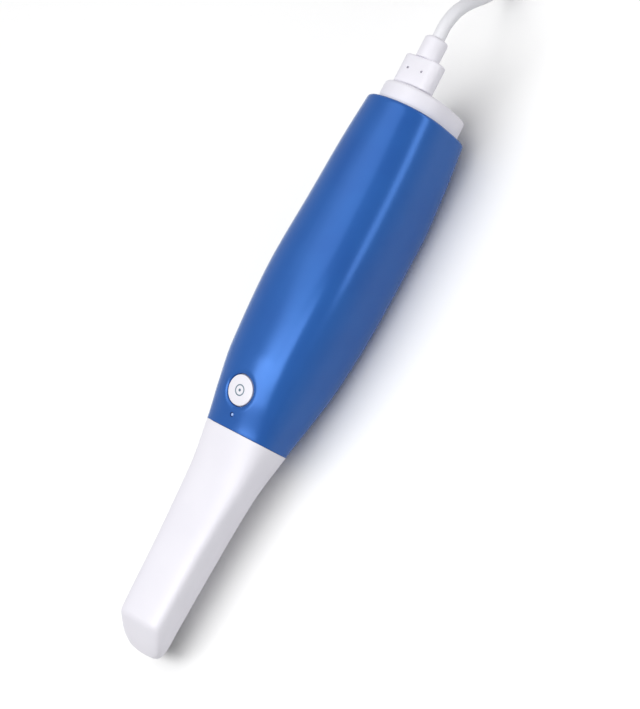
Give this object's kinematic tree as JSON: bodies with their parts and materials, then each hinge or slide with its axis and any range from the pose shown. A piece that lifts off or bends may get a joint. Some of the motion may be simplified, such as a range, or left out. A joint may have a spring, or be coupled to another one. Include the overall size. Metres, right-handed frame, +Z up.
{
  "type": "intraoral scanner",
  "caption": "Handheld dental scanner: slide-off white tip with a bevelled mirror end, satin blue grip with a round button, white rear cap, and a plug-in lead wound into a hank.",
  "frame": {"origin": "middle of the handpiece's footprint on the surface it lies on, without its lead", "axes": "+X from the scan tip to the rear cap, +Y across, +Z up through the button"},
  "size_m": [0.4432, 0.0528, 0.048],
  "materials": {
    "white_plastic": "satin white moulded plastic",
    "blue_plastic": "satin royal blue moulded plastic",
    "black_plastic": "matt black moulded plastic",
    "clear_glass": "polished, coated",
    "mirror": "front-silvered, polished",
    "steel": "stamped, bright",
    "aluminium": "machined",
    "circuit_board": "green solder mask over glass fibre",
    "amber_film": "amber film ribbon",
    "black_rubber": "soft black",
    "cable_jacket": "satin white flexible jacket",
    "tie_fabric": "black hook-and-loop strap",
    "lamp_resin": "clear resin"
  },
  "bodies": {
    "handpiece": {"body_shell": "blue_plastic", "nose_barrel": "black_plastic", "nose_window": "clear_glass", "nose_gasket": "black_rubber", "sleeve_catch_left": "steel", "sleeve_catch_right": "steel", "lens_block": "aluminium", "projector_barrel": "black_plastic", "projector_lens": "clear_glass", "camera_barrel_left": "black_plastic", "camera_barrel_right": "black_plastic", "camera_lens_left": "clear_glass", "camera_lens_right": "clear_glass", "sensor_board_left": "circuit_board", "sensor_board_right": "circuit_board", "sensor_flex_left": "amber_film", "sensor_flex_right": "amber_film", "flex_connector": "white_plastic", "projector_engine": "aluminium", "chassis": "aluminium", "main_board": "circuit_board", "processor": "black_plastic", "heat_sink": "aluminium", "memory_chip_1": "black_plastic", "memory_chip_2": "black_plastic", "memory_chip_3": "black_plastic", "board_screw_1": "steel", "board_screw_2": "steel", "board_screw_3": "steel", "board_screw_4": "steel", "button_switch": "steel", "button_board": "circuit_board", "button_bracket": "black_plastic", "indicator_led": "lamp_resin", "light_pipe": "clear_glass", "rear_cap": "white_plastic", "rear_gasket": "black_rubber", "cable_socket": "steel", "socket_tongue": "black_plastic"},
    "tip": {"tip_sleeve": "white_plastic", "tip_mirror": "mirror"},
    "button": {"button_cap": "white_plastic", "switch_plunger": "black_plastic"},
    "cable": {"plug_housing": "white_plastic", "plug_contact_shell": "steel", "plug_neck": "white_plastic", "cable": "cable_jacket", "cable_hank": "cable_jacket", "cable_tail": "cable_jacket", "cable_tie": "tie_fabric", "end_plug_relief": "white_plastic", "end_plug_housing": "white_plastic", "end_plug_shell": "steel"}
  },
  "joints": [
    {"name": "tip_slide", "type": "slide", "parent": "handpiece", "child": "tip", "axis": [-0.9987, 0, -0.0506], "range_m": [0, 0.078]},
    {"name": "button_press", "type": "slide", "parent": "handpiece", "child": "button", "axis": [0.2857, 0, -0.9583], "range_m": [0, 0.0006], "stiffness_N_per_m": 2500, "springref_m": -0.0002},
    {"name": "plug_slide", "type": "slide", "parent": "handpiece", "child": "cable", "axis": [0.9987, 0, 0.0506], "range_m": [0, 0.012]}
  ]
}
